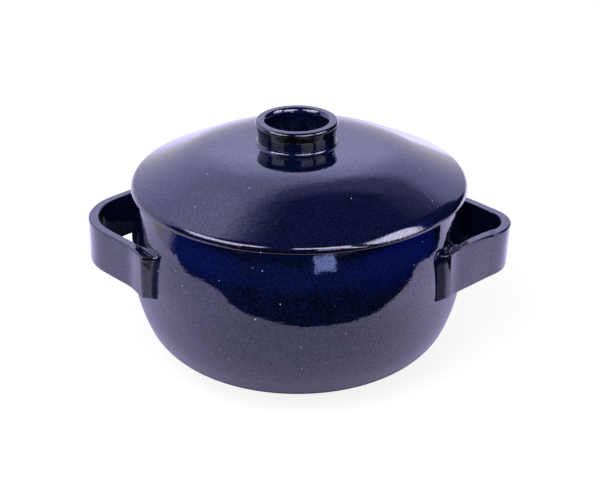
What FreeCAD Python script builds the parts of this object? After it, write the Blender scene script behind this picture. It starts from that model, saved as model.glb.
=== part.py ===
import FreeCAD, Part

import math
import os

# Lidded stoneware casserole pot with two strap handles.
# Millimetres. Origin at the centre of the foot's resting face, +Z up, +X along the handles,
# -Y the front.

# Bowl
BELLY_RADIUS = 120.1          # widest outside radius
BELLY_HEIGHT = 87.0           # height of the widest ring
LOWER_WALL_ARC = 124.8        # outside profile radius of the wall below the widest ring
CORNER_ARC = 43.2             # outside profile radius where the wall turns under
UNDER_ARC = 192.8             # outside profile radius of the underside
UNDER_LOWEST = -6.5           # where the underside's arc would cross the axis
RIM_HEIGHT = 138.4            # top of the rim
WALL = 7.0                    # wall thickness
FLOOR = 8.5                   # floor thickness over the foot's recess
INNER_CORNER_ARC = 46.0       # inside profile radius where the wall meets the floor
INNER_FLOOR_ARC = 420.0       # inside profile radius of the floor
RIM_ROUND = 2.6               # rounding of both edges of the rim

# Turned foot
FOOT_HEIGHT = 2.5
FOOT_WIDTH = 10.0
FOOT_INSET = 1.4              # step in from the bowl's underside to the foot
FOOT_BEVEL = 0.8

# Lid: its edge is as wide as the belly, and the rim is drawn in under it
LID_INSET = 0.1               # lid edge inside the belly's widest ring
LID_OVERHANG = 11.0           # lid edge beyond the rim's outer edge
LIP_DROP = 1.1                # lid edge hangs this far below its seat
LIP_WIDTH = 7.0               # width of the down-turned edge
LIP_HEIGHT = 5.0              # height of the edge up to the shoulder
SHOULDER_ROUND = 2.0          # rounding above the edge
LIP_ROUND = 1.5               # rounding under the edge
DOME_RISE = 30.8              # from the shoulder to the crown
DOME_WALL = 6.2
SEAT_GAP = 0.3                # lid seat above the rim
FLANGE_PLAY = 2.2             # radial play between collar and mouth
FLANGE_WALL = 5.2
FLANGE_DEPTH = 12.0           # collar below the seat
FLANGE_ROUND = 1.6
LID_SHIFT = 0.6               # share of the play taken up, because the lid sits loosely

# Ring knob
KNOB_RISE = 13.1              # top of the ring above the crown
KNOB_TOP_RADIUS = 28.9
KNOB_WAIST_RADIUS = 26.9
KNOB_BASE_RADIUS = 29.6
KNOB_BORE_RADIUS = 22.85
KNOB_WAIST_DROP = 8.4         # waist below the ring's top
KNOB_LIP_ROUND = 2.4
KNOB_SHIFT = -1.75            # off the lid's centre, as thrown by hand

# Strap handles: both from one slab, with their tops level
STRAP_TOP = 111.5
STRAP = 7.8                   # slab thickness
STRAP_ROUND = 2.3             # rounding of the slab's long edges
FOOT_SINK = 3.0               # the cut ends run this far into the wall before they are trimmed
FOOT_CORE = 13.0              # and the plan turns back this far inside the wall

# What differs, because each strap is cut and bent by hand: side, height of the strap, finger
# gap, radius of the tip, radius of the hollow bend, where the strap comes to lie on the wall
# (degrees from the handle's axis), stand-off of its outer face there, length laid along the
# wall, slant of the cut ends
HANDLES = {
    "handle_left": dict(side=-1, height=32.5, gap=23.4, tip=46.5, bend=14.0, lies=28.0,
                        stand=7.7, laid=16.4, slant=0.0),
    "handle_right": dict(side=1, height=33.8, gap=25.8, tip=28.0, bend=24.0, lies=27.0,
                         stand=4.5, laid=3.5, slant=34.0),
}


UP = FreeCAD.Vector(0, 0, 1)
MATCH = 0.01                  # how near an edge's radius, height and centre are to the ones asked for


def point(r, z):
    """Point of a profile in the XZ plane."""
    return FreeCAD.Vector(r, 0, z)


def on_circle(centre, radius, angle):
    return (centre[0] + radius * math.cos(angle), centre[1] + radius * math.sin(angle))


def arc(centre, radius, start, end):
    """Profile arc in the XZ plane between two angles."""
    middle = (start + end) / 2
    ends = [point(*on_circle(centre, radius, a)) for a in (start, middle, end)]
    return Part.Arc(*ends).toShape()


def line(a, b):
    return Part.LineSegment(point(*a), point(*b)).toShape()


def lathe(edges, axis_x=0.0):
    """Turn a closed profile about the vertical axis at x = axis_x."""
    solid = Part.Face(Part.Wire(edges)).revolve(point(0, 0), UP, 360)
    solid.translate(FreeCAD.Vector(axis_x, 0, 0))
    return solid


def ring_edges(solid, radius, z, axis_x=0.0):
    """The solid's circular edges of one radius at one height."""
    found = []
    for edge in solid.Edges:
        if edge.Degenerated or not isinstance(edge.Curve, Part.Circle):
            continue
        curve = edge.Curve
        misses = (curve.Radius - radius, curve.Center.z - z, curve.Center.x - axis_x)
        if max(abs(miss) for miss in misses) < MATCH:
            found.append(edge)
    return found


class Bowl:
    """Four tangent arcs: across the bottom, round the corner, up to the belly and up to the rim."""

    def __init__(self, lowest, bottom_arc, corner_arc, lower_arc, upper_arc, widest, widest_z):
        self.lowest = lowest
        self.bottom_arc = bottom_arc
        self.corner_arc = corner_arc
        self.lower_arc = lower_arc
        self.upper_arc = upper_arc
        self.bottom = (0.0, lowest + bottom_arc)
        self.lower = (widest - lower_arc, widest_z)
        self.upper = (widest - upper_arc, widest_z)
        self.corner = self.corner_centre()
        self.low = self.angle(self.bottom, self.corner)
        self.high = self.angle(self.lower, self.corner)

    @staticmethod
    def angle(a, b):
        return math.atan2(b[1] - a[1], b[0] - a[0])

    def corner_centre(self):
        """Centre of the circle that touches the other two from inside."""
        to_bottom = self.bottom_arc - self.corner_arc
        to_lower = self.lower_arc - self.corner_arc
        dx = self.lower[0] - self.bottom[0]
        dz = self.lower[1] - self.bottom[1]
        apart = math.hypot(dx, dz)
        along = (to_bottom ** 2 - to_lower ** 2 + apart ** 2) / (2 * apart)
        aside = math.sqrt(to_bottom ** 2 - along ** 2)
        ux, uz = dx / apart, dz / apart
        foot = (self.bottom[0] + along * ux, self.bottom[1] + along * uz)
        sides = [(foot[0] - s * aside * uz, foot[1] + s * aside * ux) for s in (1, -1)]
        return max(sides)

    def radius_at(self, z):
        """Radius on the wall, above the belly."""
        return self.upper[0] + math.sqrt(self.upper_arc ** 2 - (z - self.upper[1]) ** 2)

    def bottom_radius_at(self, z):
        """Radius on the bottom's arc."""
        return math.sqrt(self.bottom_arc ** 2 - (self.bottom[1] - z) ** 2)

    def edges(self, start_radius, top_z):
        """The four arcs, from a radius on the bottom's arc up to a height above the belly."""
        start = -math.acos(start_radius / self.bottom_arc)
        top = math.asin((top_z - self.upper[1]) / self.upper_arc)
        return [
            arc(self.bottom, self.bottom_arc, start, self.low),
            arc(self.corner, self.corner_arc, self.low, self.high),
            arc(self.lower, self.lower_arc, self.high, 0.0),
            arc(self.upper, self.upper_arc, 0.0, top),
        ]


def arc_between(draw, rise):
    """Radius of the arc that starts upright and has drawn in by a length at a height."""
    return (draw ** 2 + rise ** 2) / (2 * draw)


LID_RADIUS = BELLY_RADIUS - LID_INSET
RIM_RADIUS = LID_RADIUS - LID_OVERHANG
UPPER_WALL_ARC = arc_between(BELLY_RADIUS - RIM_RADIUS, RIM_HEIGHT - BELLY_HEIGHT)

OUTSIDE = Bowl(UNDER_LOWEST, UNDER_ARC, CORNER_ARC, LOWER_WALL_ARC, UPPER_WALL_ARC,
               BELLY_RADIUS, BELLY_HEIGHT)
INSIDE = Bowl(FOOT_HEIGHT + FLOOR, INNER_FLOOR_ARC, INNER_CORNER_ARC, LOWER_WALL_ARC - WALL,
              UPPER_WALL_ARC - WALL, BELLY_RADIUS - WALL, BELLY_HEIGHT)

UNDER_RADIUS = OUTSIDE.bottom_radius_at(FOOT_HEIGHT)
MOUTH_RADIUS = INSIDE.radius_at(RIM_HEIGHT)

SEAT_HEIGHT = RIM_HEIGHT + SEAT_GAP
LIP_BOTTOM = SEAT_HEIGHT - LIP_DROP
SHOULDER_HEIGHT = LIP_BOTTOM + LIP_HEIGHT
CROWN_HEIGHT = SHOULDER_HEIGHT + DOME_RISE
DOME_ARC = (LID_RADIUS ** 2 + DOME_RISE ** 2) / (2 * DOME_RISE)
DOME_CENTRE = (0.0, CROWN_HEIGHT - DOME_ARC)
LID_X = LID_SHIFT * FLANGE_PLAY
FLANGE_RADIUS = MOUTH_RADIUS - FLANGE_PLAY
KNOB_X = LID_X + KNOB_SHIFT
KNOB_TOP = CROWN_HEIGHT + KNOB_RISE


def bowl_body():
    """Outside of the bowl, filled, up to the rim."""
    profile = [line((0, FOOT_HEIGHT), (UNDER_RADIUS, FOOT_HEIGHT))]
    profile += OUTSIDE.edges(UNDER_RADIUS, RIM_HEIGHT)
    profile.append(line((RIM_RADIUS, RIM_HEIGHT), (0, RIM_HEIGHT)))
    profile.append(line((0, RIM_HEIGHT), (0, FOOT_HEIGHT)))
    return lathe(profile)


def bowl_hollow():
    """The space inside the bowl, up to the rim."""
    profile = INSIDE.edges(0.0, RIM_HEIGHT)
    profile.append(line((MOUTH_RADIUS, RIM_HEIGHT), (0, RIM_HEIGHT)))
    profile.append(line((0, RIM_HEIGHT), (0, INSIDE.lowest)))
    return lathe(profile)


def pot_body():
    """The thrown bowl with its rounded rim."""
    solid = bowl_body().cut(bowl_hollow())
    edges = ring_edges(solid, RIM_RADIUS, RIM_HEIGHT) + ring_edges(solid, MOUTH_RADIUS, RIM_HEIGHT)
    return solid.makeFillet(RIM_ROUND, edges)


def foot_ring():
    """Shallow turned foot under the bowl, bevelled where it meets the table."""
    outer = UNDER_RADIUS - FOOT_INSET
    inner = outer - FOOT_WIDTH
    ring = lathe([
        line((inner, 0), (outer, 0)),
        line((outer, 0), (outer, FOOT_HEIGHT)),
        line((outer, FOOT_HEIGHT), (inner, FOOT_HEIGHT)),
        line((inner, FOOT_HEIGHT), (inner, 0)),
    ])
    edges = ring_edges(ring, outer, 0) + ring_edges(ring, inner, 0)
    return ring.makeChamfer(FOOT_BEVEL, edges)


def dome_point(radius, depth=0.0):
    """Point on the dome, or on the surface parallel to it at a depth."""
    r = DOME_ARC - depth
    return (radius, DOME_CENTRE[1] + math.sqrt(r ** 2 - radius ** 2))


def dome_arc_edge(start_radius, end_radius, depth=0.0):
    r = DOME_ARC - depth
    angles = [math.acos(x / r) for x in (start_radius, end_radius)]
    return arc(DOME_CENTRE, r, *angles)


def lid_dome():
    """Thrown dome with a thick down-turned edge and a flat seat that rests on the rim."""
    lip_inner = LID_RADIUS - LIP_WIDTH
    seat_inner = FLANGE_RADIUS - FLANGE_WALL
    under = dome_point(seat_inner, DOME_WALL)
    profile = [
        dome_arc_edge(0.0, LID_RADIUS),
        line(dome_point(LID_RADIUS), (LID_RADIUS, LIP_BOTTOM)),
        line((LID_RADIUS, LIP_BOTTOM), (lip_inner, LIP_BOTTOM)),
        line((lip_inner, LIP_BOTTOM), (lip_inner, SEAT_HEIGHT)),
        line((lip_inner, SEAT_HEIGHT), (seat_inner, SEAT_HEIGHT)),
        line((seat_inner, SEAT_HEIGHT), under),
        dome_arc_edge(seat_inner, 0.0, DOME_WALL),
        line(dome_point(0.0, DOME_WALL), dome_point(0.0)),
    ]
    solid = lathe(profile, LID_X)
    shoulder = ring_edges(solid, LID_RADIUS, SHOULDER_HEIGHT, LID_X)
    solid = solid.makeFillet(SHOULDER_ROUND, shoulder)
    solid = solid.makeFillet(LIP_ROUND, ring_edges(solid, LID_RADIUS, LIP_BOTTOM, LID_X))
    return solid.makeFillet(LIP_DROP / 2, ring_edges(solid, lip_inner, LIP_BOTTOM, LID_X))


def lid_flange():
    """Collar under the lid that drops into the pot's mouth and keeps the lid from sliding."""
    inner = FLANGE_RADIUS - FLANGE_WALL
    low = SEAT_HEIGHT - FLANGE_DEPTH
    ring = lathe([
        line((inner, low), (FLANGE_RADIUS, low)),
        line((FLANGE_RADIUS, low), (FLANGE_RADIUS, SEAT_HEIGHT)),
        line((FLANGE_RADIUS, SEAT_HEIGHT), (inner, SEAT_HEIGHT)),
        line((inner, SEAT_HEIGHT), (inner, low)),
    ], LID_X)
    edges = ring_edges(ring, FLANGE_RADIUS, low, LID_X) + ring_edges(ring, inner, low, LID_X)
    return ring.makeFillet(FLANGE_ROUND, edges)


def lid_knob(dome):
    """Hollow ring with a waist and a rolled lip, luted on the crown and cut to the dome."""
    waist_z = KNOB_TOP - KNOB_WAIST_DROP
    base_z = dome_point(KNOB_BASE_RADIUS)[1] - DOME_WALL / 2
    flare_z = waist_z - KNOB_WAIST_DROP
    waist = Part.Arc(
        point(KNOB_BASE_RADIUS, flare_z),
        point(KNOB_WAIST_RADIUS, waist_z),
        point(KNOB_TOP_RADIUS, KNOB_TOP),
    )
    profile = [
        line((KNOB_BORE_RADIUS, base_z), (KNOB_BASE_RADIUS, base_z)),
        line((KNOB_BASE_RADIUS, base_z), (KNOB_BASE_RADIUS, flare_z)),
        waist.toShape(),
        line((KNOB_TOP_RADIUS, KNOB_TOP), (KNOB_BORE_RADIUS, KNOB_TOP)),
        line((KNOB_BORE_RADIUS, KNOB_TOP), (KNOB_BORE_RADIUS, base_z)),
    ]
    ring = lathe(profile, KNOB_X)
    lip = ring_edges(ring, KNOB_TOP_RADIUS, KNOB_TOP, KNOB_X)
    lip += ring_edges(ring, KNOB_BORE_RADIUS, KNOB_TOP, KNOB_X)
    return ring.makeFillet(KNOB_LIP_ROUND, lip).cut(dome)


def flat(x, y):
    """Point of a plan outline at the strap's top."""
    return FreeCAD.Vector(x, y, STRAP_TOP)


def plan_arc(centre, radius, start, end):
    middle = (start + end) / 2
    ends = [flat(*on_circle(centre, radius, a)) for a in (start, middle, end)]
    return Part.Arc(*ends).toShape()


def plan_line(a, b):
    return Part.LineSegment(flat(*a), flat(*b)).toShape()


def half_strap(gap, tip, bend, lies, stand, laid, slant):
    """Half of the strap's plan, on the +Y side of the handle's own axis, from tip to foot.

    Outside: round the tip, straight along the arm, then a hollow bend that lays the strap
    along the wall. Inside: round the tip, then straight on into the wall.
    """
    foot_radius = BELLY_RADIUS + stand
    tip_centre = (BELLY_RADIUS + gap + STRAP - tip, 0.0)
    lies_at = math.radians(lies)
    bend_centre = on_circle((0, 0), foot_radius + bend, lies_at)

    # The arm is the line that touches the tip's circle and, on its other side, the bend's
    span = (bend_centre[0] - tip_centre[0], bend_centre[1] - tip_centre[1])
    turn = math.atan2(span[1], span[0]) - math.acos((tip + bend) / math.hypot(*span))
    leaves = on_circle(tip_centre, tip, turn)
    joins = on_circle(bend_centre, bend, turn + math.pi)

    # The cut end, from the outer corner of the foot into the wall
    ends_at = lies_at + laid / foot_radius
    corner = on_circle((0, 0), foot_radius, ends_at)
    sunk = OUTSIDE.radius_at(STRAP_TOP) - FOOT_SINK
    step = (-math.cos(math.radians(slant)), math.sin(math.radians(slant)))
    towards = corner[0] * step[0] + corner[1] * step[1]
    run = -towards - math.sqrt(towards ** 2 - foot_radius ** 2 + sunk ** 2)
    bottom = (corner[0] + run * step[0], corner[1] + run * step[1])

    # The inner face runs on to the wall where the strap's outer face comes to lie on it
    inner_leaves = on_circle(tip_centre, tip - STRAP, turn)
    offset = inner_leaves[0] * math.cos(turn) + inner_leaves[1] * math.sin(turn)
    enters = on_circle((0, 0), offset / math.cos(turn - lies_at), lies_at)
    core = on_circle((0, 0), OUTSIDE.radius_at(STRAP_TOP) - FOOT_CORE, lies_at)

    return [
        plan_arc(tip_centre, tip, 0.0, turn),
        plan_line(leaves, joins),
        plan_arc(bend_centre, bend, turn + math.pi, lies_at + math.pi),
        plan_arc((0, 0), foot_radius, lies_at, ends_at),
        plan_line(corner, bottom),
        plan_line(bottom, core),
        plan_line(core, enters),
        plan_line(enters, inner_leaves),
        plan_arc(tip_centre, tip - STRAP, turn, 0.0),
    ]


def strap_handle(bowl, side, height, **plan):
    """Slab strap bent into a loop, its feet trimmed to the bowl's wall."""
    half = half_strap(**plan)
    mirrored = [edge.mirror(flat(0, 0), FreeCAD.Vector(0, 1, 0)) for edge in half]
    outline = Part.Wire(Part.__sortEdges__(half + mirrored))
    strap = Part.Face(outline).extrude(-UP * height)
    level = [edge for edge in strap.Edges if edge.BoundBox.ZLength < STRAP_ROUND]
    strap = strap.makeFillet(STRAP_ROUND, level).cut(bowl)
    if side < 0:
        strap.rotate(point(0, 0), UP, 180)
    return strap


def build():
    bowl = bowl_body()
    dome = lid_dome()
    nodes = {
        "pot_body": pot_body(),
        "foot_ring": foot_ring(),
        "lid_dome": dome,
        "lid_flange": lid_flange(),
        "lid_knob": lid_knob(dome),
    }
    for name, sizes in HANDLES.items():
        nodes[name] = strap_handle(bowl, **sizes)
    return nodes


os.makedirs("parts", exist_ok=True)
for node, shape in build().items():
    solid = shape.Solids[0] if len(shape.Solids) == 1 else shape
    print(node, "solids", len(shape.Solids), "valid", shape.isValid(), "volume", round(solid.Volume))
    solid.exportStep("parts/" + node + ".step")
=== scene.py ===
import math

import bmesh
import bpy
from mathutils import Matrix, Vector, noise


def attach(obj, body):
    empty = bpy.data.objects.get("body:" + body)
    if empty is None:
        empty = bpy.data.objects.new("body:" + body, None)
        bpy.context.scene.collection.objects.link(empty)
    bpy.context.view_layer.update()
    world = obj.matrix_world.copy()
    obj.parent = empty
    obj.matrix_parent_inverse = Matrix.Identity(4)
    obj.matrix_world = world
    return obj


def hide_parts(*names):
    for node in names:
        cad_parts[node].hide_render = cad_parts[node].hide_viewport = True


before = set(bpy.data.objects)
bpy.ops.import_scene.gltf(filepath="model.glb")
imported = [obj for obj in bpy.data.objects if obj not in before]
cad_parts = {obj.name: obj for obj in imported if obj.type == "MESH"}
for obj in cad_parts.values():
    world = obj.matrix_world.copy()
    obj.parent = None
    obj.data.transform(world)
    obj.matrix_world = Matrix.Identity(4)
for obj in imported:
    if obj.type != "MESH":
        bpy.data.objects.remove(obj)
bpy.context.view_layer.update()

# Lidded stoneware casserole pot with two strap handles, glazed cobalt blue.
# Sizes are in millimetres and become metres where a mesh or a node takes them.

MM = 0.001
scene = bpy.context.scene
scene.view_settings.view_transform = "Standard"

# Camera at the photograph's angle
VIEW_TURN = math.radians(2.9)        # the pot stands turned this far from square
CAMERA_PLACE = (66.0, -1266.5, 677.8)
CAMERA_AIM = (1.82, 0.09, 84.845)
LENS = 115.7
SENSOR = 36.0

# Bowl profile: tangent arcs, with radii from the axis and heights above the table
BELLY_RADIUS = 120.1         # widest ring
BELLY_HEIGHT = 87.0
LOWER_ARC = 124.8            # wall below the widest ring
CORNER_ARC = 43.2            # where the wall turns under
UNDER_ARC = 192.8            # underside
UNDER_LOWEST = -6.5          # where the underside's arc would cross the axis
RIM_HEIGHT = 138.4
RIM_ROUND = 2.6              # both edges of the rim
WALL = 7.0
INNER_CORNER_ARC = 46.0      # inside, where the wall meets the floor
FLOOR_ARC = 420.0
FLOOR_LOWEST = 11.0

# The lid's edge is almost as wide as the belly and hangs over the rim, which sets the upper wall's
# arc, to a thousandth of a millimetre
LID_INSET = 0.1              # inside the belly's widest ring
LID_OVERHANG = 11.0          # beyond the rim
LID_RADIUS = BELLY_RADIUS - LID_INSET
RIM_INSET = BELLY_RADIUS - LID_RADIUS + LID_OVERHANG
RIM_RISE = RIM_HEIGHT - BELLY_HEIGHT
UPPER_ARC = round((RIM_INSET ** 2 + RIM_RISE ** 2) / (2 * RIM_INSET), 3)

# Turned foot, set in a little from where the underside comes down to it. Its width and the
# collar's, further down, are worked out to a hundredth of a millimetre
FOOT_HEIGHT = 2.5
FOOT_INSET = 1.4
FOOT_WIDTH = 10.0
FOOT_ROUND = 0.8
FOOT_SIDE = 1.6              # a point half way up keeps the upright sides flat in smooth shading
UNDER_EDGE = math.sqrt(UNDER_ARC ** 2 - (UNDER_LOWEST + UNDER_ARC - FOOT_HEIGHT) ** 2)
FOOT_OUTER = round(UNDER_EDGE - FOOT_INSET, 2)
FOOT_INNER = FOOT_OUTER - FOOT_WIDTH

# Lid profile, about its own axis. The dome is three tangent arcs, each given by the radius where it
# ends and its fall there in degrees: nearly level round the knob, turning down, then almost a cone
CROWN_HEIGHT = 169.6
DOME_TURNS = ((44.0, 3.2), (86.0, 24.6), (118.0, 26.2))
DOME_FALL = math.radians(DOME_TURNS[-1][1])
SHOULDER_ROUND = 5.7
SHOULDER_GAP = 0.3           # the dome's last point is left out if it is nearer to the shoulder
LIP_BOTTOM = 137.1
LIP_ROUND = 1.0              # outside, under the edge
LIP_BEVEL = 0.5              # inside, under the edge
LIP_WIDTH = 7.0
SEAT_GAP = 0.3               # the lid's seat is this far over the rim
SEAT_HEIGHT = RIM_HEIGHT + SEAT_GAP
HOLLOW_ARC = 242.97          # underside of the dome
HOLLOW_CENTRE = (0.0, -75.77)

# Collar under the lid. It has play in the mouth, and the lid takes up a share of it to the right
MOUTH_RADIUS = BELLY_RADIUS - UPPER_ARC + math.sqrt((UPPER_ARC - WALL) ** 2 - RIM_RISE ** 2)
FLANGE_PLAY = 2.2
FLANGE_WALL = 5.2
FLANGE_DEPTH = 12.0
FLANGE_ROUND = 1.6
FLANGE_OUTER = round(MOUTH_RADIUS - FLANGE_PLAY, 2)
FLANGE_INNER = FLANGE_OUTER - FLANGE_WALL
LID_SHIFT = 0.6
LID_X = LID_SHIFT * FLANGE_PLAY

# At the front right the edge was pressed into a bevel: radius where it starts, the share of its width
# over which it sets in, its two slopes, the side it is on, and how far round it fades in and is full
BEVEL_START = 114.6
BEVEL_EASE = 0.3
BEVEL_SLOPES = (math.radians(45.0), math.radians(52.0))
BEVEL_SIDE = math.radians(-46.0)
BEVEL_REACH = (math.radians(30.0), math.radians(3.0))

# Ring knob: an almost level top, a wall that draws in below it, and a small fillet on the dome
KNOB_SHIFT = -1.75           # off the lid's centre, as thrown by hand
KNOB_X = LID_X + KNOB_SHIFT
KNOB_TOP = 186.5
KNOB_BORE = 21.6
KNOB_BORE_NARROWS = 1.2      # at the bottom of the bore
KNOB_LIP_ROUND = 6.0         # the bore's mouth opens in a wide round between two turns
KNOB_LIP_TURNS = (math.radians(8.0), math.radians(45.0))
KNOB_INNER_ROUND = 1.2
KNOB_EDGE_ROUND = 2.4
KNOB_THROAT_ROUND = 5.0      # below the outer edge
KNOB_THROAT_TURN = math.radians(19.0)
KNOB_WAIST = (27.4, 171.6)
KNOB_WALL_ARC = 150.0
KNOB_WALL_TURNS = (math.radians(1.6), math.radians(4.0))
KNOB_FILLET = 3.0
KNOB_SKIRT = 0.8             # beyond the fillet the clay dips under the dome
KNOB_SKIRT_DIP = 0.3
KNOB_SINK = 3.1              # the ring runs this far into the dome

# Lengths of the steps that make up the profiles' curves, and counts of even steps
FLOOR_STEP = 3.0
WALL_STEP = 2.0
BORE_STEP = 1.2
KNOB_STEP = 0.8
ROUND_STEP = 0.5
LIP_STEP = 0.4
FINE_STEP = 0.3
EDGE_STEP = 0.25
UNDER_STEPS = 12
SEAT_STEPS = 8
COLLAR_STEPS = 6
SAME_POINT = 0.02            # profile points nearer than this are one

# How thin the glaze lies on a run of a profile, from 0 where it is thick to 1 where it has run off,
# and whether the clay was wiped bare
THICK = 0.0
RIM_THIN = 0.8
SHOULDER_THIN = 0.15
EDGE_THIN = 0.75
LIP_THIN = 0.55
LIP_UNDER_THIN = 0.5
KNOB_TOP_THIN = 0.1
KNOB_INNER_THIN = 0.5
KNOB_EDGE_THIN = 0.8
KNOB_WALL_THIN = 0.1
GLAZED = 0
BARE = 1

# Strap handles, bent by hand from one slab, so each has its own sizes: its side of the pot, the
# slab's height, the finger gap, radius of the tip and of the hollow bend, where the strap comes to
# lie on the wall (degrees from the handle's axis), how far its outer face stands off there, how long
# it is laid along the wall, slant of its cut ends in degrees, how far its lower edge leans in, the
# seed of its unevenness, clay drawn out beside the joint (reach along the wall and rise out from
# it), how far the near arm is bent up in its middle and how far its lower corner drops
STRAP_TOP = 111.5
STRAP = 7.8
STRAP_ROUND = 1.6
STRAPS = {
    "left": dict(side=-1, height=32.5, gap=23.4, tip=46.5, bend=14.0, lies=28.0, stand=7.7,
                 laid=16.4, slant=0.0, lean=0.4, seed=3.1, joint=(2.6, 3.4), lift=0.0, drop=0.0),
    "right": dict(side=1, height=33.8, gap=25.8, tip=28.0, bend=24.0, lies=27.0, stand=4.5,
                  laid=3.5, slant=-28.0, lean=2.6, seed=7.7, joint=(12.0, 4.3), lift=1.4, drop=0.1),
}
FOOT_SINK = 3.0              # the cut ends run this far into the wall
END_ROUND = 1.6              # softened upright edge of the cut ends
END_STEPS = 5
TOP_FILLET = 3.0             # clay smoothed into the joint along the strap's top
JOINT_THICK = 4.0            # the glaze pools this far out from the wall, so it isn't thin there
EASE_PASSES = 40             # how often the plan's outer line is eased by its neighbours
PLAN_STEP = 0.8
CUT_STEP = 0.35
ROUND_STEPS = 6              # of each rounded edge
FACE_STEPS = 30              # up the upright faces
FLAT_STEPS = 8               # across the top and the bottom
MOST_ROUND = 0.45            # of the slab's thickness, where it runs out thinner than its roundings

# The glaze on the straps runs thin on the cut ends and over the edges. The slab's faces took it a
# little drier than the thrown clay did, and the creases of the joints are dulled as painted shade
END_THIN = 0.8
OUTER_EDGE_THIN = 1.5        # past 1 it has run off over most of the rounding
INNER_EDGE_THIN = 0.6
END_DULL = 0.17
OUTER_DULL = 0.27
FLAT_DULL = 0.13             # top and bottom
CREASE_SHADE = 2.2            # painted shade: how fast the gloss dulls towards the wall, so the crease reads dark

# Unevenness of a hand-worked slab: the dents' spacing, their width as a share of their height,
# their depth, and how far the whole skin is drawn in so that it stays inside the solid
DENT_SPACING = 22.0
DENT_SQUASH = 0.7
DENT_DEPTH = 0.35
SKIN_DRAWN = 0.2

# Where a strap's own bends set in
BENDS_FROM = 2.0             # this far out from the belly
BENDS_OVER = 20.0            # and over this distance further out
FRONT_OVER = 15.0            # over this distance towards the front

# Distances within which mesh points become one, and under which a sliver is dissolved
MERGE = 0.01
STRAP_MERGE = 0.02
SLIVER = 0.005


def linear(code):
    """An sRGB hex colour as linear red, green, blue and alpha."""
    parts = [int(code[i:i + 2], 16) / 255 for i in (1, 3, 5)]
    return [c / 12.92 if c <= 0.04045 else ((c + 0.055) / 1.055) ** 2.4 for c in parts] + [1.0]


def node(tree, kind, inputs=None, **settings):
    """Add a node, set its properties, then give each input its value or its link."""
    made = tree.nodes.new(kind)
    for name, value in settings.items():
        setattr(made, name, value)
    for key, value in (inputs or {}).items():
        if isinstance(value, bpy.types.NodeSocket):
            tree.links.new(value, made.inputs[key])
        else:
            made.inputs[key].default_value = value
    return made


# Materials

# Colours in the glaze, and of the bare clay
DARK_GLASS = "#03060c"
COBALT = "#0d163f"
IRON_BLACK = "#080706"
OLIVE_BROWN = "#3a3126"
CLAY_DARK = "#7f6a58"
CLAY_PALE = "#a08a74"
CLAY_FLECK = "#3d2f28"

# Sizes of the glaze's patterns. The freckles and the grains of dulled gloss are drawn coarser than
# the real ones, which are too fine to show
CLOUDS = 14.0
FRECKLES = 1.5
GLOSS_GRAINS = 0.95
CLOUD_SHARE = 0.16           # how much the clouds add to the freckles
PINHOLE_MATT = 0.85          # share of the gloss that a pinhole loses

# Specks in the glaze, scattered one to a cell: width of a cell, largest radius of a speck, share of
# the cells that hold one, colour, and a shift that sets the kinds apart. The pinholes come last
SPECKS = (
    (1.6, 0.42, 0.45, "#1d2136", 0.13),      # fine pale crystals
    (6.2, 0.50, 0.5, "#d8daea", 0.31),       # white specks
    (8.0, 0.50, 0.4, "#120a08", 0.77),       # dark pinholes
)

# Unevenness of the glaze's skin: width, rise, and whether it follows the rings of the turning
SKIN = (
    (9.0, 0.070, False),                     # slow swells from the throwing
    (3.6, 0.018, True),                      # rings under the glaze
    (1.4, 0.014, True),
    (3.0, 0.028, False),                     # ripples where the melt moved
    (1.3, 0.010, False),                     # fine orange peel
)
RING_RUN = 0.14                              # the rings' pattern runs out this much along the turn

# Sizes of the bare clay's patterns
CLAY_GRAIN = 0.9
CLAY_TOAST = 12.0
CLAY_TOOTH = 0.12


def new_material(name):
    material = bpy.data.materials.new(name)
    material.use_nodes = True
    material.node_tree.nodes.clear()
    return material, material.node_tree


def speckled(tree, place, colour):
    """Scatter the specks over a colour; also gives the last kind's own pattern, the pinholes."""
    for cell, radius, share, paint, shift in SPECKS:
        moved = node(tree, "ShaderNodeVectorMath", {0: place, 1: (shift, shift, shift)},
                     operation="ADD")
        dots = node(tree, "ShaderNodeTexVoronoi", {"Vector": moved.outputs[0],
                                                   "Scale": 1 / (cell * MM)})
        chance = node(tree, "ShaderNodeSeparateColor", {0: dots.outputs["Color"]})
        reach = node(tree, "ShaderNodeMath", {0: chance.outputs[1], 1: radius / cell},
                     operation="MULTIPLY")
        inside = node(tree, "ShaderNodeMath", {0: dots.outputs["Distance"], 1: reach.outputs[0]},
                      operation="LESS_THAN")
        chosen = node(tree, "ShaderNodeMath", {0: chance.outputs[0], 1: share}, operation="LESS_THAN")
        speck = node(tree, "ShaderNodeMath", {0: inside.outputs[0], 1: chosen.outputs[0]},
                     operation="MULTIPLY")
        spotted = node(tree, "ShaderNodeMix", {0: speck.outputs[0], 6: colour, 7: linear(paint)},
                       data_type="RGBA")
        colour = spotted.outputs[2]
    return colour, speck.outputs[0]


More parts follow.
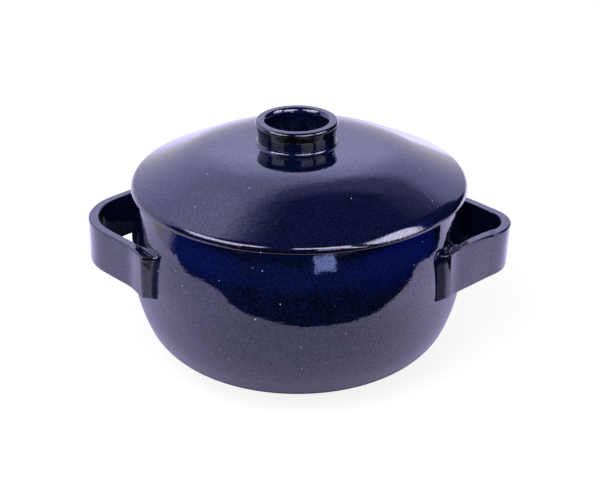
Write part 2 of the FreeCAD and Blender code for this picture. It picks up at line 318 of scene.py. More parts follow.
def glaze_colour(tree, place):
    """Colour of the cobalt glaze, and the pattern of its pinholes."""
    # The cobalt floats in dark glass as freckles, in clouds of deeper and paler blue
    clouds = node(tree, "ShaderNodeTexNoise", {"Vector": place, "Scale": 1 / (CLOUDS * MM),
                                               "Detail": 2.0})
    freckles = node(tree, "ShaderNodeTexNoise", {"Vector": place, "Scale": 1 / (FRECKLES * MM),
                                                 "Detail": 2.0, "Roughness": 0.75})
    share = node(tree, "ShaderNodeMath", {0: clouds.outputs["Fac"], 1: CLOUD_SHARE},
                 operation="MULTIPLY")
    both = node(tree, "ShaderNodeMath", {0: share.outputs[0], 1: freckles.outputs["Fac"]},
                operation="ADD")
    depth = node(tree, "ShaderNodeMapRange", {"Value": both.outputs[0], "From Min": 0.47,
                                              "From Max": 0.74})
    blue = node(tree, "ShaderNodeMix", {0: depth.outputs[0], 6: linear(DARK_GLASS),
                                        7: linear(COBALT)}, data_type="RGBA")

    # It runs thin over edges, and there the iron in the clay burns through black and olive brown
    thin = node(tree, "ShaderNodeAttribute", attribute_name="thin").outputs["Fac"]
    ragged = node(tree, "ShaderNodeMath", {0: freckles.outputs["Fac"], 1: thin}, operation="MULTIPLY")
    broken = node(tree, "ShaderNodeMapRange", {"Value": ragged.outputs[0], "From Min": 0.1,
                                               "From Max": 0.3}, interpolation_type="SMOOTHSTEP")
    black = node(tree, "ShaderNodeMix", {0: broken.outputs[0], 6: blue.outputs[2],
                                         7: linear(IRON_BLACK)}, data_type="RGBA")
    rust = node(tree, "ShaderNodeMapRange", {"Value": ragged.outputs[0], "From Min": 0.42,
                                             "From Max": 0.6}, interpolation_type="SMOOTHSTEP")
    worn = node(tree, "ShaderNodeMix", {0: rust.outputs[0], 6: black.outputs[2],
                                        7: linear(OLIVE_BROWN)}, data_type="RGBA")
    return speckled(tree, place, worn.outputs[2])


def glaze_skin(tree, place):
    """The uneven skin of the glaze, as a normal."""
    # The turning left fine rings, which run out along the circumference
    parts = node(tree, "ShaderNodeSeparateXYZ", {0: place})
    level = node(tree, "ShaderNodeCombineXYZ", {0: parts.outputs[0], 1: parts.outputs[1]})
    radius = node(tree, "ShaderNodeVectorMath", {0: level.outputs[0]}, operation="LENGTH")
    along = node(tree, "ShaderNodeMath", {0: parts.outputs[0], 1: RING_RUN}, operation="MULTIPLY")
    ringed = node(tree, "ShaderNodeCombineXYZ", {0: radius.outputs["Value"], 1: along.outputs[0],
                                                 2: parts.outputs[2]})
    skin = None
    for width, rise, turned_rings in SKIN:
        where = ringed.outputs[0] if turned_rings else place
        waves = node(tree, "ShaderNodeTexNoise", {"Vector": where, "Scale": 1 / (width * MM),
                                                  "Detail": 1.0})
        bump = node(tree, "ShaderNodeBump", {"Height": waves.outputs["Fac"], "Distance": rise * MM,
                                             "Strength": 1.0})
        if skin:
            tree.links.new(skin, bump.inputs["Normal"])
        skin = bump.outputs[0]
    return skin


def glaze_gloss(tree, place, pinholes):
    """Specular level of the glaze, lower in pits, on drier slab faces and in pinholes, and dulled in
    creases as painted shade.
    """
    grains = node(tree, "ShaderNodeTexNoise", {"Vector": place, "Scale": 1 / (GLOSS_GRAINS * MM),
                                               "Detail": 1.0})
    gloss = node(tree, "ShaderNodeMapRange", {"Value": grains.outputs["Fac"], "From Min": 0.3,
                                              "From Max": 0.7, "To Min": 0.3, "To Max": 0.68})
    dull_and_shade = node(tree, "ShaderNodeAttribute", attribute_name="dull_and_shade").outputs["Fac"]
    wet = node(tree, "ShaderNodeMapRange", {"Value": dull_and_shade, "To Min": 1.0, "To Max": 0.12})
    pitted = node(tree, "ShaderNodeMath", {0: pinholes, 1: -PINHOLE_MATT, 2: 1.0},
                  operation="MULTIPLY_ADD")
    even = node(tree, "ShaderNodeMath", {0: gloss.outputs[0], 1: wet.outputs[0]}, operation="MULTIPLY")
    shine = node(tree, "ShaderNodeMath", {0: even.outputs[0], 1: pitted.outputs[0]},
                 operation="MULTIPLY")
    return shine.outputs[0]


def cobalt_glaze():
    """Cobalt glaze over thrown stoneware, fired glossy: near-black blue glass that mirrors the room."""
    material, tree = new_material("cobalt glaze over stoneware")
    place = node(tree, "ShaderNodeTexCoord").outputs["Object"]
    colour, pinholes = glaze_colour(tree, place)
    shader = node(tree, "ShaderNodeBsdfPrincipled", {
        "Base Color": colour, "Roughness": 0.06, "IOR": 1.6, "Normal": glaze_skin(tree, place),
        "Specular IOR Level": glaze_gloss(tree, place, pinholes)})
    node(tree, "ShaderNodeOutputMaterial", {"Surface": shader.outputs[0]})
    return material


def bare_stoneware():
    """Fired stoneware left bare: a dry, matt, speckled grey-buff clay."""
    material, tree = new_material("bare fired stoneware")
    place = node(tree, "ShaderNodeTexCoord").outputs["Object"]
    grain = node(tree, "ShaderNodeTexNoise", {"Vector": place, "Scale": 1 / (CLAY_GRAIN * MM),
                                              "Detail": 4.0})
    toast = node(tree, "ShaderNodeTexNoise", {"Vector": place, "Scale": 1 / (CLAY_TOAST * MM),
                                              "Detail": 2.0})
    body = node(tree, "ShaderNodeMix", {0: toast.outputs["Fac"], 6: linear(CLAY_DARK),
                                        7: linear(CLAY_PALE)}, data_type="RGBA")
    flecks = node(tree, "ShaderNodeMapRange", {"Value": grain.outputs["Fac"], "From Min": 0.6,
                                               "From Max": 0.7})
    clay = node(tree, "ShaderNodeMix", {0: flecks.outputs[0], 6: body.outputs[2],
                                        7: linear(CLAY_FLECK)}, data_type="RGBA")
    tooth = node(tree, "ShaderNodeBump", {"Height": grain.outputs["Fac"], "Distance": CLAY_TOOTH * MM,
                                          "Strength": 1.0})
    shader = node(tree, "ShaderNodeBsdfPrincipled", {
        "Base Color": clay.outputs[2], "Roughness": 0.85, "IOR": 1.5, "Normal": tooth.outputs[0]})
    node(tree, "ShaderNodeOutputMaterial", {"Surface": shader.outputs[0]})
    return material


GLAZE = cobalt_glaze()
CLAY = bare_stoneware()


# Lines and arcs

def on_circle(centre, radius, angle):
    return (centre[0] + radius * math.cos(angle), centre[1] + radius * math.sin(angle))


def arc(centre, radius, start, end, step=WALL_STEP):
    """Points along an arc, about one step apart."""
    count = max(2, round(abs(end - start) * radius / step))
    return [on_circle(centre, radius, start + (end - start) * i / count) for i in range(count + 1)]


def straight(a, b, count):
    """Points along a straight line, in even steps."""
    return [(a[0] + (b[0] - a[0]) * i / count, a[1] + (b[1] - a[1]) * i / count)
            for i in range(count + 1)]


def steps_between(a, b, step):
    """Points along a straight line, about one step apart."""
    return straight(a, b, max(1, round(math.dist(a, b) / step)))


def direction(a, b):
    return math.atan2(b[1] - a[1], b[0] - a[0])


# Profiles of the thrown pieces

def profile(*runs):
    """Join runs of (points, thin, bare) into one open line of points with those two marks."""
    joined = []
    for points, thin, bare in runs:
        for point in points:
            if not joined or math.dist(joined[-1][0], point) > SAME_POINT:
                joined.append((point, thin, bare))
    return joined


def bowl_arcs(lowest, bottom_arc, corner_arc, lower_arc, upper_arc, widest, start_radius, top):
    """The bowl's four tangent arcs, as points from the underside up to a height."""
    bottom = (0.0, lowest + bottom_arc)
    lower = (widest - lower_arc, BELLY_HEIGHT)
    upper = (widest - upper_arc, BELLY_HEIGHT)

    # The corner's centre is where two circles cross, one about each neighbour's centre
    to_bottom = bottom_arc - corner_arc
    to_lower = lower_arc - corner_arc
    apart = math.dist(bottom, lower)
    along = (to_bottom ** 2 - to_lower ** 2 + apart ** 2) / (2 * apart)
    aside = math.sqrt(to_bottom ** 2 - along ** 2)
    ux, uz = (lower[0] - bottom[0]) / apart, (lower[1] - bottom[1]) / apart
    foot = (bottom[0] + along * ux, bottom[1] + along * uz)
    corner = max((foot[0] - s * aside * uz, foot[1] + s * aside * ux) for s in (1, -1))
    low = direction(bottom, corner)
    high = direction(lower, corner)
    start = -math.acos(start_radius / bottom_arc)
    return (arc(bottom, bottom_arc, start, low, FLOOR_STEP) + arc(corner, corner_arc, low, high)
            + arc(lower, lower_arc, high, 0.0) + arc(upper, upper_arc, 0.0, top))


def fillet_under(centre, radius, rounding, height):
    """Centre of a rounding between a level top and the inside of an arc."""
    z = height - rounding
    return (centre[0] + math.sqrt((radius - rounding) ** 2 - (z - centre[1]) ** 2), z)


def pot_profile():
    """The bowl from the middle of its underside, up the outside, over the rim and down the inside."""
    upper = (BELLY_RADIUS - UPPER_ARC, BELLY_HEIGHT)
    outer_round = fillet_under(upper, UPPER_ARC, RIM_ROUND, RIM_HEIGHT)
    inner_round = fillet_under(upper, UPPER_ARC - WALL, -RIM_ROUND, RIM_HEIGHT - 2 * RIM_ROUND)
    top = direction(upper, outer_round)
    inner_top = direction(upper, inner_round)
    under = straight((0.0, FOOT_HEIGHT), (UNDER_EDGE, FOOT_HEIGHT), UNDER_STEPS)
    outside = bowl_arcs(UNDER_LOWEST, UNDER_ARC, CORNER_ARC, LOWER_ARC, UPPER_ARC, BELLY_RADIUS,
                        UNDER_EDGE, top)
    inside = bowl_arcs(FLOOR_LOWEST, FLOOR_ARC, INNER_CORNER_ARC, LOWER_ARC - WALL,
                       UPPER_ARC - WALL, BELLY_RADIUS - WALL, 0.0, inner_top)
    rim_out = arc(outer_round, RIM_ROUND, top, math.pi / 2, ROUND_STEP)
    rim_in = arc(inner_round, RIM_ROUND, math.pi / 2, math.pi + inner_top, ROUND_STEP)
    return profile((under, THICK, GLAZED), (outside, THICK, GLAZED), (rim_out, RIM_THIN, GLAZED),
                   (rim_in, RIM_THIN, GLAZED), (inside[::-1], THICK, GLAZED))


def foot_profile():
    """The foot's ring, once round from the top of its outer side."""
    down = -math.pi / 2
    outer_round = arc((FOOT_OUTER - FOOT_ROUND, FOOT_ROUND), FOOT_ROUND, 0, down, FINE_STEP)
    inner_round = arc((FOOT_INNER + FOOT_ROUND, FOOT_ROUND), FOOT_ROUND, down, 2 * down, FINE_STEP)
    outer_top = (FOOT_OUTER, FOOT_HEIGHT)
    loop = [outer_top, (FOOT_OUTER, FOOT_SIDE)] + outer_round + inner_round
    loop += [(FOOT_INNER, FOOT_SIDE), (FOOT_INNER, FOOT_HEIGHT), outer_top]
    return profile((loop, THICK, BARE))


def dome_line():
    """The dome's outside, from its crown down to where the shoulder's line begins."""
    points = []
    radius, height, fall = 0.0, CROWN_HEIGHT, 0.0
    for end_radius, end_degrees in DOME_TURNS:
        end_fall = math.radians(end_degrees)
        bend = (end_radius - radius) / (math.sin(end_fall) - math.sin(fall))
        centre = (radius - bend * math.sin(fall), height - bend * math.cos(fall))
        points += arc(centre, bend, math.pi / 2 - fall, math.pi / 2 - end_fall)
        radius, height = points[-1]
        fall = end_fall
    return points


DOME_LINE = dome_line()


def dome_height(radius):
    for (r0, z0), (r1, z1) in zip(DOME_LINE, DOME_LINE[1:]):
        if r0 <= radius <= r1 and r1 > r0:
            return z0 + (z1 - z0) * (radius - r0) / (r1 - r0)
    return DOME_LINE[-1][1]


def bevelled(place):
    """Where a point of the dome's outside goes when the edge is pressed into a bevel."""
    radius, height = place
    lowest = LIP_BOTTOM + 2 * LIP_ROUND
    if radius <= BEVEL_START or height <= lowest:
        return place
    share = (radius - BEVEL_START) / (LID_RADIUS - BEVEL_START)
    set_in = min(share / BEVEL_EASE, 1.0)
    first, second = BEVEL_SLOPES
    slope = first + (second - first) * share
    steeper = (slope - DOME_FALL) * set_in * (1 + set_in) / 2
    drop = (radius - BEVEL_START) * math.tan(DOME_FALL + steeper)
    return (radius, max(min(dome_height(BEVEL_START) - drop, height), lowest))


def dome_profile():
    """The lid from its crown over the edge to its underside, and the same line with the bevel."""
    last_r, last_z = DOME_LINE[-1]
    corner_z = last_z - (LID_RADIUS - last_r) * math.tan(DOME_FALL)
    back = SHOULDER_ROUND * math.tan((math.pi / 2 - DOME_FALL) / 2)
    leaves_r = LID_RADIUS - back * math.cos(DOME_FALL)
    dome = [place for place in DOME_LINE if place[0] < leaves_r - SHOULDER_GAP]
    shoulder = (LID_RADIUS - SHOULDER_ROUND, corner_z - back)
    edge = arc(shoulder, SHOULDER_ROUND, math.pi / 2 - DOME_FALL, 0.0, FINE_STEP)
    lip_centre = (LID_RADIUS - LIP_ROUND, LIP_BOTTOM + LIP_ROUND)
    lip = arc(lip_centre, LIP_ROUND, 0, -math.pi / 2, EDGE_STEP)
    lip_inner = LID_RADIUS - LIP_WIDTH
    under = [(lip_inner + LIP_BEVEL, LIP_BOTTOM), (lip_inner, LIP_BOTTOM + LIP_BEVEL),
             (lip_inner, SEAT_HEIGHT)]
    seat = straight((lip_inner, SEAT_HEIGHT), (FLANGE_INNER, SEAT_HEIGHT), SEAT_STEPS)[1:]
    hollow = arc(HOLLOW_CENTRE, HOLLOW_ARC, math.acos(FLANGE_INNER / HOLLOW_ARC), math.pi / 2,
                 FLOOR_STEP)
    half = len(edge) // 2
    marked = profile((dome, THICK, GLAZED), (edge[:half], SHOULDER_THIN, GLAZED),
                     (edge[half:], EDGE_THIN, GLAZED), (lip, LIP_THIN, GLAZED),
                     (under, LIP_UNDER_THIN, GLAZED), (seat, THICK, BARE), (hollow, THICK, GLAZED))
    return marked, [bevelled(place) for place, _, _ in marked]


def flange_profile():
    """The collar, once round from the top of its outer side."""
    low = SEAT_HEIGHT - FLANGE_DEPTH
    down = -math.pi / 2
    outer_top = (FLANGE_OUTER, SEAT_HEIGHT)
    loop = straight(outer_top, (FLANGE_OUTER, low), COLLAR_STEPS)[:-1]
    loop += arc((FLANGE_OUTER - FLANGE_ROUND, low + FLANGE_ROUND), FLANGE_ROUND, 0, down, LIP_STEP)
    loop += arc((FLANGE_INNER + FLANGE_ROUND, low + FLANGE_ROUND), FLANGE_ROUND, down, 2 * down,
                LIP_STEP)
    loop += straight((FLANGE_INNER, low), (FLANGE_INNER, SEAT_HEIGHT), COLLAR_STEPS)[1:]
    loop.append(outer_top)
    return profile((loop, THICK, BARE))


def knob_profile():
    """The ring from its bore, over the top and the outer edge, down the wall to its fillet."""
    foot_r = KNOB_BORE - KNOB_BORE_NARROWS
    sunk = dome_height(foot_r) - KNOB_SINK

    # The wall's two arcs bend the same way, so both centres lie outside it
    low_turn, high_turn = KNOB_WALL_TURNS
    wall_centre = on_circle(KNOB_WAIST, KNOB_WALL_ARC, -low_turn)
    wall = arc(wall_centre, KNOB_WALL_ARC, math.pi - high_turn, math.pi - low_turn, KNOB_STEP)
    throat_centre = on_circle(wall[0], KNOB_THROAT_ROUND, -high_turn)
    throat = arc(throat_centre, KNOB_THROAT_ROUND, math.pi - KNOB_THROAT_TURN, math.pi - high_turn,
                 ROUND_STEP)
    edge_z = KNOB_TOP - KNOB_EDGE_ROUND
    flare = edge_z - KNOB_EDGE_ROUND * math.sin(KNOB_THROAT_TURN) - throat[0][1]
    leaves = (throat[0][0] + flare * math.tan(KNOB_THROAT_TURN), throat[0][1] + flare)
    edge_centre = on_circle(leaves, -KNOB_EDGE_ROUND, -KNOB_THROAT_TURN)
    edge = arc(edge_centre, KNOB_EDGE_ROUND, math.pi / 2, -KNOB_THROAT_TURN, EDGE_STEP)

    # The bore's lip opens in a wide round, then turns over onto the top
    first, second = KNOB_LIP_TURNS
    turn_z = KNOB_TOP - KNOB_INNER_ROUND * (1 - math.sin(second))
    lip_centre = (KNOB_BORE + KNOB_LIP_ROUND * math.cos(first), turn_z - KNOB_LIP_ROUND * math.sin(second))
    lip = arc(lip_centre, KNOB_LIP_ROUND, math.pi - first, math.pi - second, LIP_STEP)
    crest = on_circle(lip[-1], KNOB_INNER_ROUND, -second)
    inner = arc(crest, KNOB_INNER_ROUND, math.pi - second, math.pi / 2, EDGE_STEP)
    top = steps_between(inner[-1], edge[0], KNOB_STEP)[1:-1]

    # Inside, the bore narrows down to the dome
    bore = steps_between((foot_r, sunk), lip[0], BORE_STEP)[:-1]

    # The fillet turns from the wall's foot to the dome
    fillet_r = KNOB_WAIST[0] + KNOB_FILLET
    fillet = arc((fillet_r, dome_height(fillet_r) + KNOB_FILLET), KNOB_FILLET, math.pi, math.pi * 1.5,
                 FINE_STEP)
    skirt_r = fillet[-1][0] + KNOB_SKIRT
    skirt = [(skirt_r, dome_height(skirt_r) - KNOB_SKIRT_DIP), (skirt_r - KNOB_SKIRT / 2, sunk),
             (foot_r, sunk)]
    return profile((bore, THICK, GLAZED), (lip, KNOB_TOP_THIN, GLAZED),
                   (inner, KNOB_INNER_THIN, GLAZED), (top, KNOB_TOP_THIN, GLAZED),
                   (edge, KNOB_EDGE_THIN, GLAZED), (throat, KNOB_EDGE_THIN, GLAZED),
                   (wall, KNOB_WALL_THIN, GLAZED), (fillet, THICK, GLAZED), (skirt, THICK, GLAZED))


# The lathe, in Geometry Nodes

def lathe_tree():
    """Turn a profile in the XZ plane about an upright axis, a little out of true as thrown."""
    tree = bpy.data.node_groups.new("thrown on the wheel", "GeometryNodeTree")
    face = tree.interface
    face.new_socket("Profile", in_out="INPUT", socket_type="NodeSocketGeometry")
    for name, kind in (("Turns", "NodeSocketInt"), ("Axis X", "NodeSocketFloat"),
                       ("Unevenness", "NodeSocketFloat"), ("Swell", "NodeSocketFloat"),
                       ("Seed", "NodeSocketFloat"), ("Pressed Side", "NodeSocketFloat"),
                       ("Pressed From", "NodeSocketFloat"), ("Pressed Full", "NodeSocketFloat"),
                       ("Glaze", "NodeSocketMaterial"), ("Clay", "NodeSocketMaterial")):
        face.new_socket(name, in_out="INPUT", socket_type=kind)
    face.new_socket("Thrown", in_out="OUTPUT", socket_type="NodeSocketGeometry")
    given = node(tree, "NodeGroupInput").outputs

    # A flat grid: each column across is a point of the profile, each row a step of the turn
    size = node(tree, "GeometryNodeAttributeDomainSize", {0: given["Profile"]}, component="MESH")
    rows = node(tree, "ShaderNodeMath", {0: given["Turns"], 1: 1.0}, operation="ADD")
    grid = node(tree, "GeometryNodeMeshGrid", {"Size X": 1.0, "Size Y": 1.0,
                                               "Vertices X": size.outputs["Point Count"],
                                               "Vertices Y": rows.outputs[0]})
    place = node(tree, "GeometryNodeInputPosition").outputs[0]
    across = node(tree, "ShaderNodeSeparateXYZ", {0: place})
    last = node(tree, "ShaderNodeMath", {0: size.outputs["Point Count"], 1: 1.0},
                operation="SUBTRACT")
    share = node(tree, "ShaderNodeMath", {0: across.outputs[0], 1: 0.5}, operation="ADD")
    column = node(tree, "ShaderNodeMath", {0: share.outputs[0], 1: last.outputs[0]},
                  operation="MULTIPLY")
    whole = node(tree, "ShaderNodeMath", {0: column.outputs[0]}, operation="ROUND")
    around = node(tree, "ShaderNodeMath", {0: across.outputs[1], 1: 0.5}, operation="ADD")
    angle = node(tree, "ShaderNodeMath", {0: around.outputs[0], 1: 2 * math.pi},
                 operation="MULTIPLY")
    point = node(tree, "GeometryNodeSampleIndex", {"Geometry": given["Profile"], "Value": place,
                                                   "Index": whole.outputs[0]},
                 data_type="FLOAT_VECTOR")

    # A pressed edge: full near one side of the ring and fading out round it
    press = node(tree, "GeometryNodeInputNamedAttribute", {"Name": "pressed"},
                 data_type="FLOAT_VECTOR")
    push = node(tree, "GeometryNodeSampleIndex", {"Geometry": given["Profile"],
                                                  "Value": press.outputs[0],
                                                  "Index": whole.outputs[0]},
                data_type="FLOAT_VECTOR")
    from_side = node(tree, "ShaderNodeMath", {0: angle.outputs[0], 1: given["Pressed Side"]},
                     operation="SUBTRACT")
    facing = node(tree, "ShaderNodeMath", {0: from_side.outputs[0]}, operation="COSINE")
    fades = node(tree, "ShaderNodeMath", {0: given["Pressed From"]}, operation="COSINE")
    full = node(tree, "ShaderNodeMath", {0: given["Pressed Full"]}, operation="COSINE")
    amount = node(tree, "ShaderNodeMapRange", {"Value": facing.outputs[0],
                                               "From Min": fades.outputs[0],
                                               "From Max": full.outputs[0]},
                  interpolation_type="SMOOTHSTEP")
    shift = node(tree, "ShaderNodeVectorMath", {0: push.outputs[0], "Scale": amount.outputs[0]},
                 operation="SCALE")
    pressed = node(tree, "ShaderNodeVectorMath", {0: point.outputs[0], 1: shift.outputs[0]},
                   operation="ADD")

    # Turned round the axis, drawn in unevenly, and set beside the pot's own axis
    turned = node(tree, "ShaderNodeVectorRotate", {"Vector": pressed.outputs[0],
                                                   "Angle": angle.outputs[0]},
                  rotation_type="Z_AXIS")
    swells = node(tree, "ShaderNodeTexNoise", {"Vector": turned.outputs[0], "W": given["Seed"],
                                               "Scale": given["Swell"], "Detail": 1.0},
                  noise_dimensions="4D")
    less = node(tree, "ShaderNodeMath", {0: swells.outputs["Fac"], 1: given["Unevenness"]},
                operation="MULTIPLY")
    drawn = node(tree, "ShaderNodeMath", {0: 1.0, 1: less.outputs[0]}, operation="SUBTRACT")
    squeeze = node(tree, "ShaderNodeCombineXYZ", {0: drawn.outputs[0], 1: drawn.outputs[0], 2: 1.0})
    uneven = node(tree, "ShaderNodeVectorMath", {0: turned.outputs[0], 1: squeeze.outputs[0]},
                  operation="MULTIPLY")
    aside = node(tree, "ShaderNodeCombineXYZ", {0: given["Axis X"]})
    moved = node(tree, "ShaderNodeVectorMath", {0: uneven.outputs[0], 1: aside.outputs[0]},
                 operation="ADD")

    # The profile's marks go with its points, then the grid is moved into shape and closed
    shape = grid.outputs["Mesh"]
    for mark in ("thin", "bare"):
        own = node(tree, "GeometryNodeInputNamedAttribute", {"Name": mark}, data_type="FLOAT")
        value = node(tree, "GeometryNodeSampleIndex", {"Geometry": given["Profile"],
                                                       "Value": own.outputs[0],
                                                       "Index": whole.outputs[0]})
        stored = node(tree, "GeometryNodeStoreNamedAttribute", {"Geometry": shape, "Name": mark,
                                                                "Value": value.outputs[0]})
        shape = stored.outputs[0]
    placed = node(tree, "GeometryNodeSetPosition", {"Geometry": shape,
                                                    "Position": moved.outputs[0]})
    closed = node(tree, "GeometryNodeMergeByDistance", {"Geometry": placed.outputs[0],
                                                        "Distance": MERGE * MM})
    smooth = node(tree, "GeometryNodeSetShadeSmooth", {"Geometry": closed.outputs[0]})
    real = node(tree, "GeometryNodeRealizeInstances", {"Geometry": smooth.outputs[0]})
    glazed = node(tree, "GeometryNodeSetMaterial", {"Geometry": real.outputs[0],
                                                    "Material": given["Glaze"]})
    wiped = node(tree, "GeometryNodeInputNamedAttribute", {"Name": "bare"}, data_type="FLOAT")
    matt = node(tree, "ShaderNodeMath", {0: wiped.outputs[0], 1: 0.5}, operation="GREATER_THAN")
    done = node(tree, "GeometryNodeSetMaterial", {"Geometry": glazed.outputs[0],
                                                  "Selection": matt.outputs[0],
                                                  "Material": given["Clay"]})
    node(tree, "NodeGroupOutput", {0: done.outputs[0]})
    return tree


LATHE = lathe_tree()


def profile_mesh(name, marked, pressed):
    """The profile as a line of edges, with its marks and how far a pressed edge moves each point."""
    mesh = bpy.data.meshes.new(name)
    mesh.from_pydata([(r * MM, 0, z * MM) for (r, z), _, _ in marked],
                     [(i, i + 1) for i in range(len(marked) - 1)], [])
    for mark, slot in (("thin", 1), ("bare", 2)):
        layer = mesh.attributes.new(mark, "FLOAT", "POINT")
        layer.data.foreach_set("value", [row[slot] for row in marked])
    moves = [((r2 - r) * MM, 0.0, (z2 - z) * MM) for ((r, z), _, _), (r2, z2) in zip(marked, pressed)]
    layer = mesh.attributes.new("pressed", "FLOAT_VECTOR", "POINT")
    layer.data.foreach_set("vector", [c for move in moves for c in move])
    return mesh


def outward(mesh):
    """Merge doubles and turn every face of a closed mesh outwards."""
    work = bmesh.new()
    work.from_mesh(mesh)
    bmesh.ops.remove_doubles(work, verts=work.verts, dist=MERGE * MM)
    bmesh.ops.recalc_face_normals(work, faces=work.faces)
    work.to_mesh(mesh)
    work.free()


def thrown(name, marked, turns, seed, axis_x=0.0, unevenness=0.0008, swell=18.0, pressed=None):
    """A piece turned from its profile, as one plain mesh.

    Unevenness is the share of the radius that the hand's swells take off, and swell is how many of
    them there are to a metre.
    """
    pressed = pressed or [place for place, _, _ in marked]
    made = bpy.data.objects.new(name, profile_mesh(name, marked, pressed))
    scene.collection.objects.link(made)
    lathe = made.modifiers.new("lathe", "NODES")
    lathe.node_group = LATHE
    values = {"Turns": turns, "Axis X": axis_x * MM, "Unevenness": unevenness, "Swell": swell,
              "Seed": seed, "Pressed Side": BEVEL_SIDE, "Pressed From": BEVEL_REACH[0],
              "Pressed Full": BEVEL_REACH[1], "Glaze": GLAZE, "Clay": CLAY}
    for item in LATHE.interface.items_tree:
        if item.in_out == "INPUT" and item.name in values:
            lathe[item.identifier] = values[item.name]
    graph = bpy.context.evaluated_depsgraph_get()
    mesh = bpy.data.meshes.new_from_object(made.evaluated_get(graph))
    made.modifiers.remove(lathe)
    made.data = mesh
    outward(mesh)
    return made


def keep(made, body, slot, *nodes):
    """Let a piece stand for its CAD nodes and move with their body."""
    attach(made, body)
    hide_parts(*nodes)


# The thrown pieces

keep(thrown("bowl", pot_profile(), turns=288, seed=1.0), "pot", "cobalt_glaze", "pot_body")
keep(thrown("turned_foot", foot_profile(), turns=160, seed=1.0), "pot", "bare_stoneware", "foot_ring")
dome_marks, dome_pressed = dome_profile()
keep(thrown("domed_lid", dome_marks, turns=320, seed=4.0, axis_x=LID_X, pressed=dome_pressed),
     "lid", "cobalt_glaze", "lid_dome")
keep(thrown("lid_collar", flange_profile(), turns=192, seed=4.0, axis_x=LID_X, unevenness=0.002),
     "lid", "bare_stoneware", "lid_flange")
keep(thrown("ring_knob", knob_profile(), turns=192, seed=6.0, axis_x=KNOB_X, unevenness=0.005,
            swell=40.0), "lid", "cobalt_glaze", "lid_knob")


# Strap handles

def wall_radius(z):
    """Outside radius of the bowl's wall near the belly."""
    wide = UPPER_ARC if z > BELLY_HEIGHT else LOWER_ARC
    return BELLY_RADIUS - wide + math.sqrt(wide ** 2 - (z - BELLY_HEIGHT) ** 2)


def run_to_circle(start, way, radius):
    """How far it is from a place, straight on, to the first crossing of a circle about the axis."""
    along = start[0] * way[0] + start[1] * way[1]
    half = math.sqrt(max(along ** 2 - start[0] ** 2 - start[1] ** 2 + radius ** 2, 0.0))
    return -along - half if along + half <= 0 else half - along


def onward(start, way, run):
    return (start[0] + run * way[0], start[1] + run * way[1])


def eased(line, moving):
    """Ease the first points of a line by their neighbours; the first of all stays on the x axis."""
    for _ in range(EASE_PASSES):
        line = [(line[0][0], 0.0)] + [
            tuple((before + 2 * here + after) / 4 for before, here, after in zip(*line[i - 1:i + 2]))
            if i < moving else line[i] for i in range(1, len(line))]
    return line


def half_plan(gap, tip, bend, lies, stand, laid, slant):
    """Half the strap's plan from its tip to its cut end: outer line, inner line and cut points."""
    foot_radius = BELLY_RADIUS + stand
    tip_centre = (BELLY_RADIUS + gap + STRAP - tip, 0.0)
    lies_at = math.radians(lies)
    bend_centre = on_circle((0, 0), foot_radius + bend, lies_at)
    span = (bend_centre[0] - tip_centre[0], bend_centre[1] - tip_centre[1])
    turn = math.atan2(span[1], span[0]) - math.acos((tip + bend) / math.hypot(*span))
    leaves = on_circle(tip_centre, tip, turn)
    joins = on_circle(bend_centre, bend, turn + math.pi)
    ends_at = lies_at + laid / foot_radius
    corner = on_circle((0, 0), foot_radius, ends_at)
    sunk = wall_radius(STRAP_TOP) - FOOT_SINK
    across = (-math.cos(math.radians(slant)), math.sin(math.radians(slant)))
    bottom = onward(corner, across, run_to_circle(corner, across, sunk))

    # Tip and arm: both faces run side by side
    outer = arc(tip_centre, tip, 0.0, turn, PLAN_STEP)
    inner = [on_circle(tip_centre, tip - STRAP, turn * i / (len(outer) - 1))
             for i in range(len(outer))]
    arm = steps_between(leaves, joins, PLAN_STEP)[1:]
    shift = (inner[-1][0] - leaves[0], inner[-1][1] - leaves[1])
    outer += arm
    inner += [(x + shift[0], y + shift[1]) for x, y in arm]

    # Foot, outer face: it bends, lies along the wall and turns its softened corner to the cut end
    foot = arc(bend_centre, bend, turn + math.pi, lies_at + math.pi, PLAN_STEP)[1:]
    foot += arc((0, 0), foot_radius, lies_at, ends_at - END_ROUND / foot_radius, PLAN_STEP)[1:]
    before = foot[-1]
    back = onward(corner, across, END_ROUND)
    for i in range(1, END_STEPS + 1):
        t = i / END_STEPS
        foot.append(tuple((1 - t) ** 2 * a + 2 * t * (1 - t) * c + t ** 2 * b
                          for a, c, b in zip(before, corner, back)))
    cut_face = steps_between(back, bottom, CUT_STEP)[1:]
    foot += cut_face
    cut = END_STEPS + len(cut_face)

    # Foot, inner face: straight on into the wall, then round inside it to the cut end
    arm_way = (math.cos(turn + math.pi / 2), math.sin(turn + math.pi / 2))
    enters = onward(inner[-1], arm_way, run_to_circle(inner[-1], arm_way, sunk))
    inside = steps_between(inner[-1], enters, PLAN_STEP)[1:]
    inside += arc((0, 0), sunk, direction((0, 0), enters), direction((0, 0), bottom), PLAN_STEP)[1:]
    picked = [inside[round((i + 1) * (len(inside) - 1) / len(foot))] for i in range(len(foot))]
    picked[-1] = bottom
    line = outer + foot
    return eased(line, len(line) - cut - 1), inner + picked, cut


def ways_in(line, hand):
    """Unit ways into the slab, level and square to a line of its plan."""
    ways = []
    for i in range(len(line)):
        a, b = line[max(i - 1, 0)], line[min(i + 1, len(line) - 1)]
        dx, dy = b[0] - a[0], b[1] - a[1]
        long = math.hypot(dx, dy) or 1.0
        ways.append((-hand * dy / long, hand * dx / long))
    return ways


